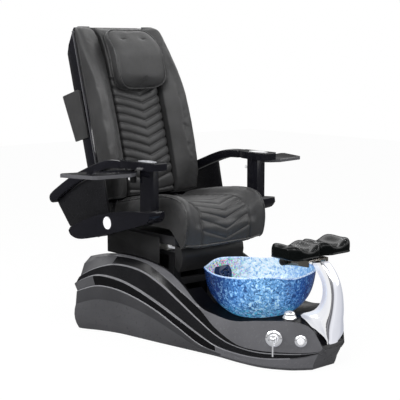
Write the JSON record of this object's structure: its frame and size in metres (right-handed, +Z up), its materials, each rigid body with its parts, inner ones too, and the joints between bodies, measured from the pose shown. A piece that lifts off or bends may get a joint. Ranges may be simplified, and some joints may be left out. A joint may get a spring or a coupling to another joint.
{
  "type": "pedicure spa chair",
  "caption": "Pedicure spa chair: boat-shaped base with a glass foot bowl, footrest on a curved column, and a quilted massage seat that slides, reclines and has lifting arms with trays.",
  "frame": {"origin": "on the floor, under the middle of the outer box at rest", "axes": "+Z up, -Y to the front where the feet go, +X to the left of a person sitting in the chair"},
  "size_m": [1.3822, 1.5755, 1.445],
  "materials": {
    "shell": "high gloss charcoal moulding",
    "steel": "black powder coat",
    "foot": "matt",
    "glass": "hammered blue glass",
    "chrome": "polished",
    "pipe": "satin",
    "brass": "cast",
    "jet": "dark blue, glossy",
    "impeller": "satin",
    "champagne": "satin",
    "restpad": "glossy black with sparkle",
    "knob": "glossy",
    "mech": "satin",
    "bearing": "natural",
    "vinyl": "satin black upholstery",
    "skirt": "satin",
    "lacquer": "piano black",
    "trim": "satin grey",
    "inlay": "white",
    "roller": "matt",
    "button": "white"
  },
  "bodies": {
    "base": {"base_shell": "shell", "chassis": "steel", "levelling_feet": "foot", "bowl": "glass", "drain_fitting": "chrome", "drain_pipe": "pipe", "water_inlets": "brass", "jet_housing": "jet", "mixer_valve": "brass", "mixer_plate": "chrome", "button_bezel": "chrome", "sprayer_collar": "chrome", "column_core": "steel", "column_cover": "chrome", "footrest_bracket": "champagne", "footrest_pin": "chrome", "pedestal_frame": "steel", "slide_rails": "chrome", "slide_actuator": "mech"},
    "jet": {"jet_impeller": "impeller"},
    "mixer": {"mixer_cartridge": "chrome"},
    "lever": {"mixer_lever": "chrome"},
    "button": {"air_button": "button"},
    "sprayer": {"sprayer_head": "chrome"},
    "footrest": {"footrest_pad": "restpad"},
    "rest_knob": {"footrest_knob": "knob"},
    "seat": {"slide_rod": "chrome", "seat_frame": "steel", "slide_blocks": "bearing", "seat_cushion": "vinyl", "front_skirt": "skirt", "rear_skirt": "skirt", "recline_actuator": "mech"},
    "rod": {"recline_rod": "chrome"},
    "back": {"back_frame": "steel", "back_shell": "lacquer", "back_trim": "trim", "bolster_right": "vinyl", "bolster_left": "vinyl", "back_pad": "vinyl", "head_pillow": "vinyl", "side_pocket": "vinyl"},
    "carriage": {"massage_carriage": "bearing"},
    "rollers": {"massage_rollers": "roller"},
    "arm_right": {"arm_right_rail": "lacquer", "arm_right_pad": "lacquer", "arm_right_post": "lacquer", "arm_right_panel": "lacquer", "arm_right_badge": "inlay"},
    "tray_right": {"tray_right_plate": "lacquer", "tray_right_bracket": "lacquer"},
    "tray_knob_right": {"tray_right_knob": "inlay"},
    "arm_left": {"arm_left_rail": "lacquer", "arm_left_pad": "lacquer", "arm_left_post": "lacquer", "arm_left_panel": "lacquer", "arm_left_badge": "inlay"},
    "tray_left": {"tray_left_plate": "lacquer", "tray_left_bracket": "lacquer"},
    "tray_knob_left": {"tray_left_knob": "inlay"}
  },
  "joints": [
    {"name": "jet_spin", "type": "hinge", "parent": "base", "child": "jet", "pos_m": [-0.03122, -0.09983, 0.30976], "axis": [0.1356, -0.9649, 0.225], "continuous": true},
    {"name": "mixer_turn", "type": "hinge", "parent": "base", "child": "mixer", "pos_m": [-0.192, -0.6, 0.141], "axis": [-0.829, -0.5592, 0], "range_deg": [-60, 60]},
    {"name": "mixer_lift", "type": "hinge", "parent": "mixer", "child": "lever", "pos_m": [-0.21687, -0.61678, 0.141], "axis": [-0.5592, 0.829, 0], "range_deg": [0, 25]},
    {"name": "button_press", "type": "slide", "parent": "base", "child": "button", "axis": [0.7431, 0.6691, 0], "range_m": [0, 0.006], "stiffness_N_per_m": 700},
    {"name": "sprayer_pull", "type": "slide", "parent": "base", "child": "sprayer", "axis": [0, 0, 1], "range_m": [0, 0.15]},
    {"name": "footrest_tilt", "type": "hinge", "parent": "base", "child": "footrest", "pos_m": [0, -0.53, 0.436], "axis": [-1, 0, 0], "range_deg": [0, 30]},
    {"name": "rest_knob_turn", "type": "hinge", "parent": "base", "child": "rest_knob", "pos_m": [-0.072, -0.53, 0.436], "axis": [1, 0, 0], "continuous": true},
    {"name": "seat_slide", "type": "slide", "parent": "base", "child": "seat", "axis": [0, -1, 0], "range_m": [-0.06, 0.045]},
    {"name": "back_recline", "type": "hinge", "parent": "seat", "child": "back", "pos_m": [0, 0.478, 0.566], "axis": [-1, 0, 0], "range_deg": [0, 32]},
    {"name": "recline_rod_slide", "type": "slide", "parent": "seat", "child": "rod", "axis": [0, -1, 0], "range_m": [0, 0.061]},
    {"name": "massage_lift", "type": "slide", "parent": "back", "child": "carriage", "axis": [0, 0.2706, 0.9627], "range_m": [0, 0.42]},
    {"name": "roller_spin", "type": "hinge", "parent": "carriage", "child": "rollers", "pos_m": [0, 0.58337, 0.85686], "axis": [1, 0, 0], "continuous": true},
    {"name": "arm_right_lift", "type": "hinge", "parent": "seat", "child": "arm_right", "pos_m": [-0.35, 0.455, 0.512], "axis": [-1, 0, 0], "range_deg": [0, 55]},
    {"name": "tray_right_swing", "type": "hinge", "parent": "arm_right", "child": "tray_right", "pos_m": [-0.368, 0.108, 0.783], "axis": [0, 0, -1], "range_deg": [-30, 40]},
    {"name": "tray_right_knob_turn", "type": "hinge", "parent": "tray_right", "child": "tray_knob_right", "pos_m": [-0.35978, 0.14099, 0.749], "axis": [0.2419, 0.9703, 0], "continuous": true},
    {"name": "arm_left_lift", "type": "hinge", "parent": "seat", "child": "arm_left", "pos_m": [0.35, 0.455, 0.512], "axis": [-1, 0, 0], "range_deg": [0, 55]},
    {"name": "tray_left_swing", "type": "hinge", "parent": "arm_left", "child": "tray_left", "pos_m": [0.368, 0.108, 0.783], "axis": [0, 0, 1], "range_deg": [-30, 40]},
    {"name": "tray_left_knob_turn", "type": "hinge", "parent": "tray_left", "child": "tray_knob_left", "pos_m": [0.35978, 0.14099, 0.749], "axis": [-0.2419, 0.9703, 0], "continuous": true}
  ],
  "couplings": [
    {"joint": "recline_rod_slide", "follows": "back_recline", "m_per_rad": 0.10832}
  ]
}
